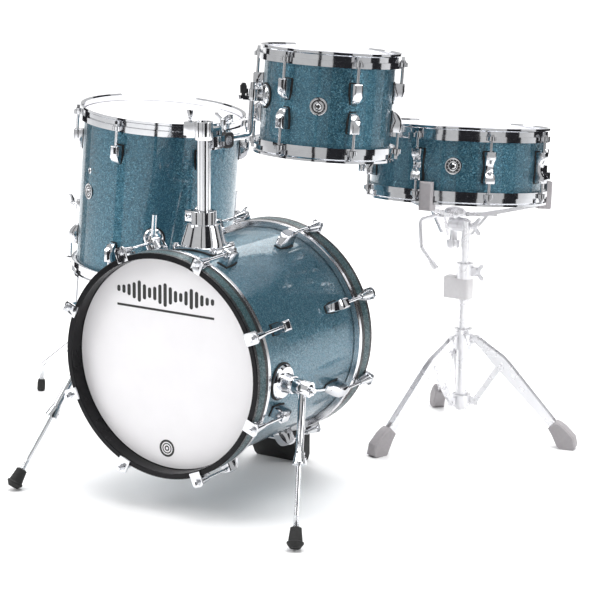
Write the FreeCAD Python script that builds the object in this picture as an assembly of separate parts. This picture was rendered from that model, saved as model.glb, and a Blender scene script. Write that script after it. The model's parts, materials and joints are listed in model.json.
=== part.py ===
import FreeCAD, Part
import math
import os
from FreeCAD import Vector as V

os.makedirs("parts", exist_ok=True)

# ------------------------------------------------------------------ sizes, mm
# The bass drum lies front (-Y) to back (+Y); the floor is Z = 0.
SHIFT_X = 118.49
SHIFT_Y = -261.27

# Bass drum
BASS_R = 203.2
BASS_DEPTH = 356.0
BASS_WALL = 7.0
BASS_AXIS_Z = 288.0
BASS_HOOP_IN = 205.5
BASS_HOOP_OUT = 216.5
BASS_HOOP_DEPTH = 38.0
BASS_HOOP_PAST = 32.0
FLESH_OUT = 216.5
FLESH_DEPTH = 10.0
BASS_LUGS = 8
BASS_LUG_START = 22.5
BASS_ROD_R = 227.0
BASS_LUG_BACK = 60.0
BASS_LUG_LENGTH = 42.0
RISER_HALF = 54.0

# Rack tom
TOM_R = 127.0
TOM_DEPTH = 178.0
TOM_AT = V(118.6, 190.3, 748.3)
TOM_AXIS = V(0.016, 0.092, 1.0)
TOM_LUGS = 6
TOM_LUG_START = -37.0
TOM_BRACKET_ANGLE = -128.5

# Floor tom
FLOOR_R = 165.0
FLOOR_DEPTH = 330.0
FLOOR_AT = V(-384.1, 335.3, 494.9)
FLOOR_AXIS = V(0.070, 0.018, 1.0)
FLOOR_LUGS = 6
FLOOR_LUG_START = -27.0
LEG_ANGLES = (-57.0, 63.0, -177.0)
LEG_TURNS = (0.0, 0.0, -20.0)
LEG_OUT = 28.0
LEG_JOG = 112.0
LEG_R = 5.0

# Snare drum
SNARE_R = 178.0
SNARE_DEPTH = 127.0
SNARE_AT = V(206.0, 575.0, 585.0)
SNARE_AXIS = V(-0.029, 0.118, 1.0)
SNARE_LUGS = 8
SNARE_LUG_START = -43.0
STRAINER_ANGLE = -155.5
BUTT_ANGLE = 24.5

# Heads and flanged metal hoops
SHELL_WALL = 6.0
HOOP_PAST = 15.0
HOOP_SKIRT = 13.0
ROD_OUT = 14.0
LUG_DROP = 42.0
LUG_LENGTH = 39.0
LUG_OUT = 21.0
LUG_WIDTH = 20.0
ROD_R = 3.0

# Tom mount on the bass drum
POST_Y = -62.6
POST_R = 12.7
POST_WALL = 1.6
POST_BOTTOM = 430.0
POST_TOP = 729.0
RUN = 0.08
CLAMP_LOW = 698.0
CLAMP_TOP = 732.0
ARM_Z = 691.0
ARM_REACH = 55.0
ARM_R = 5.25
TOM_ROD_OUT = 28.0
TOM_BRACKET_UP = 8.0

# Spurs
SPUR_Y = -104.0
SPUR_TILT = -5.9
SPUR_HEAD_OUT = 46.0
SPUR_FOOT = V(325.7, -252.4, 0.0)
SPUR_TUBE_R = 7.3
SPUR_ROD_R = 5.0

# Snare stand
STAND_X = 238.0
STAND_Y = 560.0
STAND_TUBE_R = 12.5
STAND_INNER_R = 9.5
STAND_SPREAD = 240.0
STAND_ANGLES = (-109.5, 10.5, 130.5)
COLLAR_LOW = 193.0
COLLAR_TOP = 236.0
LEG_PIVOT_R = 31.0
LEG_PIVOT_Z = 214.0
MID_R = 83.0
MID_Z = 164.0
HUB_PIVOT_R = 29.0
HUB_PIVOT_Z = 80.0
TILT_Z = 456.0
TILT_R = 15.0
STEM_X = 209.7
ARM_ANGLES = (-80.5, 39.5, 159.5)

O = V(0, 0, 0)
EX = V(1, 0, 0)
EY = V(0, 1, 0)
EZ = V(0, 0, 1)
nodes = {}


# ------------------------------------------------------------------ helpers
def cyl(r, z0, z1, at=O):
    return Part.makeCylinder(r, z1 - z0, V(at.x, at.y, at.z + z0), EZ)


def rod(p, q, r):
    return Part.makeCylinder(r, (q - p).Length, p, q - p)


def cone(p, q, r0, r1):
    return Part.makeCone(r0, r1, (q - p).Length, p, q - p)


def box(x0, x1, y0, y1, z0, z1):
    return Part.makeBox(x1 - x0, y1 - y0, z1 - z0, V(x0, y0, z0))


def face(points):
    return Part.Face(Part.makePolygon(list(points) + [points[0]]))


def rev(outline):
    """Closed (radius, height) outline turned a full circle about Z."""
    return face([V(r, 0, z) for r, z in outline]).revolve(O, EZ, 360)


def slab_xz(outline, y0, y1):
    """Closed (x, z) outline pushed from y0 to y1."""
    return face([V(x, y0, z) for x, z in outline]).extrude(V(0, y1 - y0, 0))


def slab_yz(outline, x0, x1):
    return face([V(x0, y, z) for y, z in outline]).extrude(V(x1 - x0, 0, 0))


def slab_xy(outline, z0, z1):
    return face([V(x, y, z0) for x, y in outline]).extrude(V(0, 0, z1 - z0))


def fuse(*shapes):
    out = shapes[0]
    for s in shapes[1:]:
        out = out.fuse(s)
    out = out.removeSplitter()
    return out.Solids[0] if len(out.Solids) == 1 else out


def turned(shape, angle, axis=EZ, at=O):
    s = shape.copy()
    s.rotate(at, axis, angle)
    return s


def moved(shape, x=0, y=0, z=0):
    s = shape.copy()
    s.translate(V(x, y, z))
    return s


def flipped(shape):
    return turned(shape, 180, EX)


def seat(origin, up, side=EX):
    """Placement whose local Z runs along up, with local X nearest to side."""
    z = V(up)
    z.normalize()
    x = side - z * side.dot(z)
    x.normalize()
    y = z.cross(x)
    m = FreeCAD.Matrix(x.x, y.x, z.x, origin.x, x.y, y.y, z.y, origin.y,
                       x.z, y.z, z.z, origin.z, 0, 0, 0, 1)
    return FreeCAD.Placement(m)


def put(shape, place):
    s = shape.copy()
    s.Placement = place.multiply(s.Placement)
    return s


def polar(r, angle, z=0.0):
    a = math.radians(angle)
    return V(r * math.cos(a), r * math.sin(a), z)


def group(shapes):
    solids = []
    for s in shapes:
        solids.extend(s.Solids)
    return Part.makeCompound(solids) if len(solids) > 1 else solids[0]


def bent_rod(p0, p1, p2, bend, r):
    """Round rod from p0 to p2 with a smooth bend at p1."""
    a = p0 - p1
    a.normalize()
    b = p2 - p1
    b.normalize()
    half = a.getAngle(b) / 2
    back = bend / math.tan(half)
    t0 = p1 + a * back
    t1 = p1 + b * back
    mid = a + b
    mid.normalize()
    centre = p1 + mid * (bend / math.sin(half))
    wire = Part.Wire([Part.LineSegment(p0, t0).toShape(),
                      Part.Arc(t0, centre - mid * bend, t1).toShape(),
                      Part.LineSegment(t1, p2).toShape()])
    ring = Part.Wire([Part.makeCircle(r, p0, p0 - p1)])
    return wire.makePipeShell([ring], True, False)


def double_bend(p0, p1, p2, p3, bend, r):
    """Round rod through two smooth bends."""
    def corner(a, b, c):
        u = a - b
        u.normalize()
        v = c - b
        v.normalize()
        half = u.getAngle(v) / 2
        back = bend / math.tan(half)
        m = u + v
        m.normalize()
        return b + u * back, b + m * (bend / math.sin(half) - bend), b + v * back
    a0, am, a1 = corner(p0, p1, p2)
    b0, bm, b1 = corner(p1, p2, p3)
    wire = Part.Wire([Part.LineSegment(p0, a0).toShape(), Part.Arc(a0, am, a1).toShape(),
                      Part.LineSegment(a1, b0).toShape(), Part.Arc(b0, bm, b1).toShape(),
                      Part.LineSegment(b1, p3).toShape()])
    ring = Part.Wire([Part.makeCircle(r, p0, p0 - p1)])
    return wire.makePipeShell([ring], True, False)


def wing_nut(at, axis, span, tall, across=EX):
    """Hub with two flat wings; the hub stands along axis."""
    hub = rev([(0, 0), (6.0, 0), (4.5, 9.0), (0, 9.0)])
    h = span / 2
    wing = slab_xz([(-h * 0.5, 1), (h * 0.5, 1), (h, tall * 0.55), (h, tall), (h - 5, tall), (3.0, 7.0),
                    (-3.0, 7.0), (5 - h, tall), (-h, tall), (-h, tall * 0.55)], -1.6, 1.6)
    s = fuse(hub, wing)
    return put(s, seat(at, axis, across))


def key_rod(z_in, z_seat):
    """Tension rod along Z: round shaft, washer and square head above z_seat."""
    shaft = cyl(ROD_R, z_in, z_seat + 3)
    washer = cyl(6.3, z_seat, z_seat + 1.5)
    collar = cyl(5.0, z_seat + 1.5, z_seat + 4.5)
    head = box(-3.1, 3.1, -3.1, 3.1, z_seat + 4.5, z_seat + 11)
    return fuse(shaft, washer, collar, head)


def lug_body(shell_r, out, length, width, rod_at):
    """Half-teardrop lug casting: flat end at Z = 0, tapering away below."""
    b = shell_r - 3.0
    top = shell_r + out
    side = Part.Wire([
        Part.LineSegment(V(b, 0, 0), V(top - 2, 0, 0)).toShape(),
        Part.LineSegment(V(top - 2, 0, 0), V(top, 0, -2)).toShape(),
        Part.LineSegment(V(top, 0, -2), V(top, 0, -length * 0.38)).toShape(),
        Part.Arc(V(top, 0, -length * 0.38), V(shell_r + out * 0.72, 0, -length * 0.78),
                 V(shell_r + 4.5, 0, -length)).toShape(),
        Part.LineSegment(V(shell_r + 4.5, 0, -length), V(b, 0, -length)).toShape(),
        Part.LineSegment(V(b, 0, -length), V(b, 0, 0)).toShape()])
    body = moved(Part.Face(side), 0, -width / 2).extrude(V(0, width, 0))
    w = width / 2
    cheek = [(-w, 1), (-w, -length * 0.55), (-w * 0.66, -length - 1), (w * 0.66, -length - 1),
             (w, -length * 0.55), (w, 1)]
    body = body.common(slab_yz(cheek, b - 1, top + 1))
    for s in (-1, 1):
        bevel = slab_xy([(top - 3.5, s * (w + 0.1)), (top + 0.1, s * (w - 3.5)), (top + 9, s * (w - 3.5)),
                         (top + 9, s * (w + 9)), (top - 3.5, s * (w + 9))], -length - 5, 5)
        body = body.cut(bevel)
    body = body.cut(cyl(shell_r, -length - 5, 5))
    return body.cut(cyl(ROD_R + 0.3, -24, 5, V(rod_at, 0, 0)))


def double_lug(shell_r, out, half, width, rod_at):
    """Waisted lug casting with a flat end and a rod hole at each end."""
    b = shell_r - 3.0
    top = shell_r + out
    w = width / 2
    waist = shell_r + out * 0.55
    side = Part.Wire([
        Part.LineSegment(V(b, -w, half), V(top, -w, half)).toShape(),
        Part.LineSegment(V(top, -w, half), V(top, -w, half * 0.62)).toShape(),
        Part.Arc(V(top, -w, half * 0.62), V(waist, -w, 0), V(top, -w, -half * 0.62)).toShape(),
        Part.LineSegment(V(top, -w, -half * 0.62), V(top, -w, -half)).toShape(),
        Part.LineSegment(V(top, -w, -half), V(b, -w, -half)).toShape(),
        Part.LineSegment(V(b, -w, -half), V(b, -w, half)).toShape()])
    body = Part.Face(side).extrude(V(0, width, 0))
    for s in (-1, 1):
        notch = Part.Wire([
            Part.LineSegment(V(b - 1, s * w, half * 0.7), V(b - 1, s * (w + 9), half * 0.7)).toShape(),
            Part.LineSegment(V(b - 1, s * (w + 9), half * 0.7),
                             V(b - 1, s * (w + 9), -half * 0.7)).toShape(),
            Part.LineSegment(V(b - 1, s * (w + 9), -half * 0.7), V(b - 1, s * w, -half * 0.7)).toShape(),
            Part.Arc(V(b - 1, s * w, -half * 0.7), V(b - 1, s * (w - 2.6), 0),
                     V(b - 1, s * w, half * 0.7)).toShape()])
        body = body.cut(Part.Face(notch).extrude(V(out + 9, 0, 0)))
        bevel = slab_xy([(top - 3, s * (w + 0.1)), (top + 0.1, s * (w - 3)), (top + 9, s * (w - 3)),
                         (top + 9, s * (w + 9)), (top - 3, s * (w + 9))], -half - 5, half + 5)
        body = body.cut(bevel)
        body = body.cut(cyl(ROD_R + 0.3, -24, 5, V(rod_at, 0, half) if s > 0 else V(rod_at, 0, 19 - half)))
    return body.cut(cyl(shell_r, -half - 5, half + 5))


def shell(r, depth, wall):
    h = depth / 2
    return rev([(r - wall, -h + wall - 1.5), (r - 1.5, -h), (r, -h), (r, h), (r - 1.5, h),
                (r - wall, h - wall + 1.5)])


def tom_head(r, depth):
    z = depth / 2
    return rev([(0, z), (r + 0.3, z), (r + 0.3, z - 5), (r + 2, z - 5), (r + 2, z - 11),
                (r + 8, z - 11), (r + 8, z - 3.6), (r + 2, z - 3.6), (r + 1.2, z + 0.6), (0, z + 0.6)])


def metal_hoop(r, depth, angles):
    """Triple-flanged hoop with one drilled ear per lug."""
    z = depth / 2
    ring = rev([(r + 3.8, z - 3.4), (r + 8.6, z - 3.4), (r + 8.6, z - HOOP_SKIRT),
                (r + 11, z - HOOP_SKIRT), (r + 11, z - 1.4), (r + 5.9, z - 1.4),
                (r + 5.9, z + HOOP_PAST - 6.5), (r + 7.4, z + HOOP_PAST - 4.8),
                (r + 10, z + HOOP_PAST - 4.4), (r + 10, z + HOOP_PAST),
                (r + 6.5, z + HOOP_PAST), (r + 3.8, z + HOOP_PAST - 3)])
    ears = []
    holes = []
    for a in angles:
        p = polar(r + ROD_OUT, a)
        ear = fuse(cyl(9.0, z - 9.5, z - 1.4, p),
                   turned(box(r + 9.4, r + ROD_OUT, -9, 9, z - 9.5, z - 1.4), a))
        ears.append(ear.cut(cyl(r + 9.4, z - 20, z + 5)))
        holes.append(cyl(ROD_R + 0.4, z - 20, z + 5, p))
        holes.append(cyl(6.0, z - 20, z - 4.2, p).cut(cyl(r + 11, z - 30, z + 5)))
    return ring.multiFuse(ears).cut(Part.makeCompound(holes))


def tom_set(name, r, depth, count, start, place, double_lugs=False):
    """Shell, hoops, heads, lugs and rods of one metal-hooped drum."""
    z = depth / 2
    angles = [start + k * 360.0 / count for k in range(count)]
    nodes[name + "_heads"] = put(group([tom_head(r, depth), flipped(tom_head(r, depth))]), place)
    top = metal_hoop(r, depth, angles)
    low = flipped(metal_hoop(r, depth, [-a for a in angles]))
    nodes[name + "_hoops"] = put(group([top, low]), place)
    rod_at = r + ROD_OUT
    if double_lugs:
        lug_top = depth / 2 - 32.0
        lug = double_lug(r, LUG_OUT, lug_top, LUG_WIDTH + 1, rod_at)
        lugs = [turned(lug, a) for a in angles]
    else:
        lug_top = z - LUG_DROP
        one = moved(lug_body(r, LUG_OUT, LUG_LENGTH, LUG_WIDTH, rod_at), 0, 0, lug_top)
        lugs = [turned(s, a) for a in angles for s in (one, flipped(one))]
    nodes[name + "_lugs"] = put(group(lugs), place)
    bolt = moved(key_rod(lug_top - 18, z - 1.35), rod_at)
    nodes[name + "_rods"] = put(group([turned(s, a) for a in angles for s in (bolt, flipped(bolt))]), place)


# ------------------------------------------------------------------ bass drum
bass = seat(V(0, 0, BASS_AXIS_Z), V(0, -1, 0))
bh = BASS_DEPTH / 2
hoop_out_z = bh + BASS_HOOP_PAST
hoop_in_z = hoop_out_z - BASS_HOOP_DEPTH
bass_angles = [BASS_LUG_START + k * 360.0 / BASS_LUGS for k in range(BASS_LUGS)]

post_hole = cyl(POST_R + 1.2, 0, BASS_AXIS_Z + BASS_R + 20, V(0, POST_Y, BASS_AXIS_Z))
nodes["bass_shell"] = put(shell(BASS_R, BASS_DEPTH, BASS_WALL), bass).cut(post_hole)
wood = rev([(BASS_HOOP_IN, hoop_in_z), (BASS_HOOP_OUT, hoop_in_z), (BASS_HOOP_OUT, hoop_out_z - 1.5),
            (BASS_HOOP_OUT - 1.5, hoop_out_z), (BASS_HOOP_IN + 1.5, hoop_out_z),
            (BASS_HOOP_IN, hoop_out_z - 1.5)])
nodes["bass_front_hoop"] = put(wood, bass)
nodes["bass_rear_hoop"] = put(flipped(wood), bass)
film = rev([(0, bh), (BASS_R + 0.2, bh), (BASS_R + 0.2, bh - 13), (BASS_R + 0.9, bh - 13),
            (BASS_R + 0.9, bh + 0.6), (0, bh + 0.6)])
nodes["bass_front_head"] = put(film, bass)
nodes["bass_rear_head"] = put(flipped(film), bass)
flesh = rev([(BASS_R + 1.0, hoop_in_z - FLESH_DEPTH), (FLESH_OUT - 1.5, hoop_in_z - FLESH_DEPTH),
             (FLESH_OUT, hoop_in_z - FLESH_DEPTH + 1.5), (FLESH_OUT, hoop_in_z - 1.5),
             (FLESH_OUT - 1.0, hoop_in_z - 0.1), (BASS_R + 1.0, hoop_in_z - 0.1)])
nodes["bass_flesh_hoops"] = put(group([flesh, flipped(flesh)]), bass)

lug = moved(lug_body(BASS_R, BASS_ROD_R - BASS_R + 8, BASS_LUG_LENGTH, LUG_WIDTH, BASS_ROD_R), 0, 0,
            bh - BASS_LUG_BACK)
nodes["bass_lugs"] = put(group([turned(s, a) for a in bass_angles for s in (lug, flipped(lug))]), bass)

claw_plate = slab_xy([(207, -12), (232, -12), (236, -8), (236, 8), (232, 12), (207, 12)],
                     hoop_out_z + 0.1, hoop_out_z + 3.8)
claw_neck = face([V(BASS_HOOP_OUT + 0.3, -12, hoop_out_z + 3.8),
                  V(BASS_HOOP_OUT + 0.3, 12, hoop_out_z + 3.8),
                  V(BASS_HOOP_OUT + 0.3, 12, hoop_out_z - 4), V(BASS_HOOP_OUT + 0.3, 4.5, hoop_in_z + 2),
                  V(BASS_HOOP_OUT + 0.3, -4.5, hoop_in_z + 2),
                  V(BASS_HOOP_OUT + 0.3, -12, hoop_out_z - 4)]).extrude(V(4.4, 0, 0))
claw_boss = cone(V(BASS_ROD_R, 0, hoop_in_z + 4), V(BASS_ROD_R, 0, hoop_out_z + 0.2), 4.6, 8.5)
claw = fuse(claw_plate, claw_neck, claw_boss)
claw = claw.cut(cyl(BASS_HOOP_OUT + 0.3, hoop_in_z - 20, hoop_out_z + 0.1))
claw = claw.cut(cyl(ROD_R + 0.4, 0, 400, V(BASS_ROD_R, 0, 0)))
nodes["bass_claws"] = put(group([turned(s, a) for a in bass_angles for s in (claw, flipped(claw))]), bass)
bolt = moved(key_rod(bh - BASS_LUG_BACK - 18, hoop_out_z + 3.9), BASS_ROD_R)
nodes["bass_tension_rods"] = put(group([turned(s, a) for a in bass_angles for s in (bolt, flipped(bolt))]),
                                 bass)

# Riser: rubbery wedge clamped under the rear hoop, with its T-bolt in front
riser = slab_yz([(176, 60), (176, 96), (246, 96), (246, 10), (240, 0), (214, 0), (206, 8)],
                -RISER_HALF, RISER_HALF)
riser = riser.cut(Part.makeCylinder(BASS_HOOP_OUT + 0.3, 200, V(0, 100, BASS_AXIS_Z), EY))
riser = riser.cut(box(5 - RISER_HALF, RISER_HALF - 5, 212, 232, 78, 120))
riser_bolt = fuse(rod(V(20, 160, 62), V(20, 180, 62), 4.0), rod(V(4, 158, 62), V(36, 158, 62), 3.4))
nodes["bass_riser"] = group([riser.cut(rod(V(20, 150, 62), V(20, 181, 62), 4.05)), riser_bolt])

# Post receiver: saddle plate on the shell, cone and split collar
plate = box(-50, 50, POST_Y - 40, POST_Y + 40, BASS_AXIS_Z + 180, BASS_AXIS_Z + BASS_R + 6)
corners = [e for e in plate.Edges if e.BoundBox.ZLength > 20]
plate = plate.makeFillet(12, corners)
plate = plate.cut(Part.makeCylinder(BASS_R, 300, V(0, -200, BASS_AXIS_Z), EY))
cone_low = BASS_AXIS_Z + BASS_R + 5.5
at_post = V(0, POST_Y, 0)
horn = cone(V(0, POST_Y, cone_low), V(0, POST_Y, cone_low + 41), 44, 31.5)
collar = cyl(24.0, cone_low + 41, cone_low + 65, at_post)
collar = fuse(collar, box(-36, 0, POST_Y - 10, POST_Y + 10, cone_low + 43, cone_low + 63))
collar = collar.cut(box(-45, -10, POST_Y - 1.5, POST_Y + 1.5, cone_low + 41, cone_low + 70))
receiver = fuse(plate, horn, collar).cut(cyl(POST_R + RUN, 300, 900, at_post))
screws = []
for sx in (-1, 1):
    for sy in (-1, 1):
        screws.append(cyl(4.6, BASS_AXIS_Z + BASS_R + 6, BASS_AXIS_Z + BASS_R + 9.5,
                          V(sx * 42, POST_Y + sy * 32, 0)))
pinch_z = cone_low + 53
pinch = [rod(V(-29, POST_Y - 15, pinch_z), V(-29, POST_Y - 10, pinch_z), 4.5),
         wing_nut(V(-29, POST_Y + 10.2, pinch_z), EY, 27, 15, EZ)]
nodes["post_receiver"] = group([fuse(receiver, *screws)] + pinch)

# ------------------------------------------------------------------ spurs
spur_sets = []
for side, word in ((1, "right"), (-1, "left")):
    out = V(side * math.cos(math.radians(SPUR_TILT)), 0, math.sin(math.radians(SPUR_TILT)))
    centre = V(0, SPUR_Y, BASS_AXIS_Z)
    spur = seat(centre, out, EY)
    tip = V(side * SPUR_FOOT.x, SPUR_FOOT.y, SPUR_FOOT.z)
    head_at = centre + out * (BASS_R + SPUR_HEAD_OUT)
    down = tip - head_at
    down.normalize()
    base = rev([(0, BASS_R - 6), (34, BASS_R - 6), (34, BASS_R + 4), (30, BASS_R + 8), (19, BASS_R + 9),
                (17, BASS_R + 28), (0, BASS_R + 28)])
    pin = cyl(5.0, BASS_R + 28, BASS_R + 67)
    bracket = put(fuse(base, pin), spur)
    bracket = bracket.cut(Part.makeCylinder(BASS_R, 300, V(0, -200, BASS_AXIS_Z), EY))
    handle = put(wing_nut(V(0, 0, BASS_R + 65.2), EZ, 46, 17, EX), spur)
    spur_sets.append(fuse(bracket, handle))
    barrel = put(cyl(15.0, BASS_R + 28.3, BASS_R + 64).cut(cyl(5.0 + RUN, 0, 400)), spur)
    tube = rod(head_at + down * 9, head_at + down * 148, SPUR_TUBE_R)
    clamp = cone(head_at + down * 124, head_at + down * 148, 8.0, 13.0)
    grip = wing_nut(head_at + down * 140 + EY * 9, EY, 24, 13, down)
    body = fuse(barrel, tube, clamp)
    body = body.cut(rod(head_at + down * 18, head_at + down * 160, SPUR_ROD_R + RUN))
    body = body.cut(put(cyl(5.0 + RUN, 0, 400), spur))
    nodes["spur_tube_" + word] = group([body, grip.cut(clamp)])
    length = (tip - head_at).Length
    lean = math.acos(abs(down.z))
    end = head_at + down * (length - 11.0 * math.sin(lean) / abs(down.z) - 0.2)
    nodes["spur_rod_" + word] = group([
        fuse(rod(head_at + down * 104, end - down * 12, SPUR_ROD_R)),
        put(rev([(0, 0), (10, 0), (12, 3), (16, 8), (16, 11), (13.5, 13), (SPUR_ROD_R + 5.5, 38),
                 (SPUR_ROD_R + 1.6, 40), (SPUR_ROD_R + 0.1, 40), (SPUR_ROD_R + 0.1, 11.9), (0, 11.9)]),
            seat(end, down * -1, EY))])

nodes["spur_brackets"] = group(spur_sets)

# ------------------------------------------------------------------ tom post and arm
post = cyl(POST_R, POST_BOTTOM, POST_TOP, at_post).cut(cyl(POST_R - POST_WALL, POST_BOTTOM - 1, POST_TOP + 1,
                                                           at_post))
nodes["tom_post"] = post
tom = seat(TOM_AT, TOM_AXIS)
level = tom.multVec(polar(TOM_R + TOM_ROD_OUT, TOM_BRACKET_ANGLE))
rod_low = level + TOM_AXIS * ((ARM_Z - level.z) / TOM_AXIS.z)
reach = V(rod_low.x, rod_low.y - POST_Y, 0)
reach.normalize()
across = V(reach.y, -reach.x, 0)
arm = seat(V(0, POST_Y, 0), EZ, reach)
ball = V(0, POST_Y, ARM_Z) + reach * ARM_REACH
rod_top = tom.multVec(polar(TOM_R + TOM_ROD_OUT, TOM_BRACKET_ANGLE, TOM_BRACKET_UP + 24))

ring = cyl(17.5, CLAMP_LOW, CLAMP_TOP)
neck = fuse(box(12, 40, -9, 9, ARM_Z - 14, CLAMP_TOP - 14),
            box(12, ARM_REACH - 12, -13, 13, ARM_Z - 9, ARM_Z + 11))
ear = box(-9, 9, 12, 44, CLAMP_LOW + 4, CLAMP_TOP - 4).cut(box(-1.5, 1.5, 10, 50, 600, 800))
window = box(26, 33, -20, 20, CLAMP_LOW + 6, CLAMP_LOW + 13)
body = fuse(ring, neck, ear).cut(window).cut(cyl(POST_R + RUN, 600, 800))
body = body.cut(box(-1.5, 1.5, 10, 20, 600, 800))
clamp_body = body
key = fuse(cyl(3.5, CLAMP_TOP - 4, CLAMP_TOP + 6, V(0, 36, 0)),
           slab_yz([(31, CLAMP_TOP + 5), (41, CLAMP_TOP + 5), (43, CLAMP_TOP + 18),
                    (29, CLAMP_TOP + 18)], -2, 2))
knob = fuse(cyl(4.5, ARM_Z + 15.1, ARM_Z + 32, V(ARM_REACH, 0, 0)),
            put(rev([(0, 0), (8, 0), (6, 12), (0, 12)]), seat(V(ARM_REACH, 0, ARM_Z + 28), EZ)),
            slab_yz([(-3, ARM_Z + 30), (-20, ARM_Z + 36), (-22, ARM_Z + 50), (-12, ARM_Z + 50),
                     (0, ARM_Z + 42), (12, ARM_Z + 50), (22, ARM_Z + 50), (20, ARM_Z + 36),
                     (3, ARM_Z + 30)], ARM_REACH - 2.5, ARM_REACH + 2.5))
nodes["post_clamp"] = put(group([clamp_body.cut(key), key, knob]), arm)
cheeks = box(ARM_REACH - 11.9, ARM_REACH + 14, -13, 13, ARM_Z - 15, ARM_Z + 15)
long_edges = [e for e in cheeks.Edges if e.BoundBox.YLength > 20]
cheeks = cheeks.makeFillet(8, long_edges)
cheeks = cheeks.cut(Part.makeCylinder(9.08, 40, V(ARM_REACH, -20, ARM_Z), EY))
cheeks = cheeks.cut(box(ARM_REACH, ARM_REACH + 30, -7, 7, ARM_Z - 20, ARM_Z + 20))
nodes["arm_knob"] = put(cheeks, arm)
barrel = Part.makeCylinder(9.0, 26, ball - across * 13, across)
lrod = bent_rod(ball + reach * 4, rod_low, rod_top, 13, ARM_R)
nodes["tom_arm"] = fuse(barrel, lrod)

# ------------------------------------------------------------------ rack tom
nodes["tom_shell"] = put(shell(TOM_R, TOM_DEPTH, SHELL_WALL), tom)
tom_set("tom", TOM_R, TOM_DEPTH, TOM_LUGS, TOM_LUG_START, tom)
bz = TOM_BRACKET_UP
eye_x = TOM_R + TOM_ROD_OUT
disc = put(rev([(0, -4), (21.5, -4), (21.5, 4), (18, 7), (0, 7)]), seat(V(TOM_R, 0, bz), EX, EY))
eye = fuse(box(TOM_R, eye_x, -9, 9, bz - 11, bz + 11), cyl(12, bz - 11, bz + 11, V(eye_x, 0, 0)),
           box(eye_x, eye_x + 26, -7, 7, bz - 10, bz - 2))
eye = fuse(disc, eye).cut(cyl(TOM_R, -60, 80)).cut(cyl(ARM_R + RUN, -60, 90, V(eye_x, 0, 0)))
nodes["tom_bracket"] = put(turned(eye, TOM_BRACKET_ANGLE), tom)
wing = fuse(cyl(4.0, bz - 1.9, bz + 8, V(eye_x + 18, 0, 0)),
            slab_xz([(eye_x + 13, bz + 2), (eye_x + 24, bz + 2), (eye_x + 25, bz + 16),
                     (eye_x + 21, bz + 22), (eye_x + 16, bz + 22), (eye_x + 13, bz + 15)], -3.4, 3.4))
nodes["tom_bracket_wing"] = put(turned(wing, TOM_BRACKET_ANGLE), tom)

# ------------------------------------------------------------------ floor tom
floor = seat(FLOOR_AT, FLOOR_AXIS)
nodes["floor_shell"] = put(shell(FLOOR_R, FLOOR_DEPTH, SHELL_WALL), floor)
tom_set("floor", FLOOR_R, FLOOR_DEPTH, FLOOR_LUGS, FLOOR_LUG_START, floor)
lz = -63.0
lx = FLOOR_R + LEG_OUT
disc = put(rev([(0, -4), (20.5, -4), (20.5, 3), (17, 6), (0, 6)]), seat(V(FLOOR_R, 0, lz), EX, EY))
block = fuse(box(FLOOR_R, lx, -8, 8, lz - 12, lz + 12), cyl(11, lz - 12, lz + 12, V(lx, 0, 0)),
             put(cyl(4, 0, 12), seat(V(lx + 10, 0, lz), EX, EY)))
block = fuse(disc, block, wing_nut(V(lx + 17, 0, lz), EX, 40, 17, EZ))
block = block.cut(cyl(FLOOR_R, -200, 0)).cut(cyl(LEG_R + RUN, -200, 0, V(lx, 0, 0)))
nodes["floor_leg_brackets"] = put(group([turned(block, a) for a in LEG_ANGLES]), floor)
for k in range(3):
    a = LEG_ANGLES[k]
    foot_xy = polar(lx, a) + polar(LEG_JOG, a + LEG_TURNS[k])
    bottom = floor.multVec(V(foot_xy.x, foot_xy.y, 0))
    foot_z = -(bottom.z - 0.65) / FLOOR_AXIS.z * FLOOR_AXIS.Length
    top = polar(lx, a, lz + 56)
    knee = polar(lx, a, foot_z + 148)
    heel = V(foot_xy.x, foot_xy.y, foot_z + 60)
    toe = V(foot_xy.x, foot_xy.y, foot_z + 6)
    leg = double_bend(top, knee, heel, toe, 16, LEG_R)
    foot = rev([(0, 0), (8, 0), (9, 3), (9, 18), (7.6, 26), (LEG_R + 0.05, 26),
                (LEG_R + 0.05, 5.9), (0, 5.9)])
    foot = put(foot, seat(V(foot_xy.x, foot_xy.y, foot_z), EZ))
    nodes["floor_leg_%d" % (k + 1)] = put(group([leg, foot]), floor)

# ------------------------------------------------------------------ snare drum
snare = seat(SNARE_AT, SNARE_AXIS)
nodes["snare_shell"] = put(shell(SNARE_R, SNARE_DEPTH, SHELL_WALL), snare)
tom_set("snare", SNARE_R, SNARE_DEPTH, SNARE_LUGS, SNARE_LUG_START, snare, True)
r = SNARE_R
body = fuse(box(r - 3, r + 11, -13, 13, -33, 30), box(r + 8, r + 24, -8, 8, 2, 30),
            cyl(9, -31, -16, V(r + 19, 0, 0)), box(r + 8, r + 19, -6, 6, -31, -16))
body = body.cut(cyl(r, -80, 80)).cut(box(r + 12.3, r + 40, -4.2, 4.2, 5, 45))
body = body.cut(Part.makeCylinder(2.58, 40, V(r + 18, -20, 12), EY))
nodes["strainer_body"] = put(turned(body, STRAINER_ANGLE), snare)
lever = fuse(Part.makeCylinder(2.5, 16, V(r + 18, -8, 12), EY), box(r + 14.5, r + 22, -3.9, 3.9, 8, 36),
             slab_xz([(r + 14.5, 34), (r + 22, 34), (r + 26, 52), (r + 24, 60), (r + 19, 60), (r + 15, 50)],
                     -6.5, 6.5))
nodes["strainer_lever"] = put(turned(lever, STRAINER_ANGLE), snare)
butt = fuse(box(r - 3, r + 8, -18, 18, -30, 2), box(r + 6, r + 15, -16, 16, -28, -12))
nodes["butt_plate"] = put(turned(butt.cut(cyl(r, -80, 80)), BUTT_ANGLE), snare)
wires = []
strands = 20
wz = -SNARE_DEPTH / 2 - 2.0
for k in range(strands):
    y = (k - (strands - 1) / 2.0) * 2.1
    wires.append(box(-130, 130, y - 0.6, y + 0.6, wz - 0.6, wz + 0.6))
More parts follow.
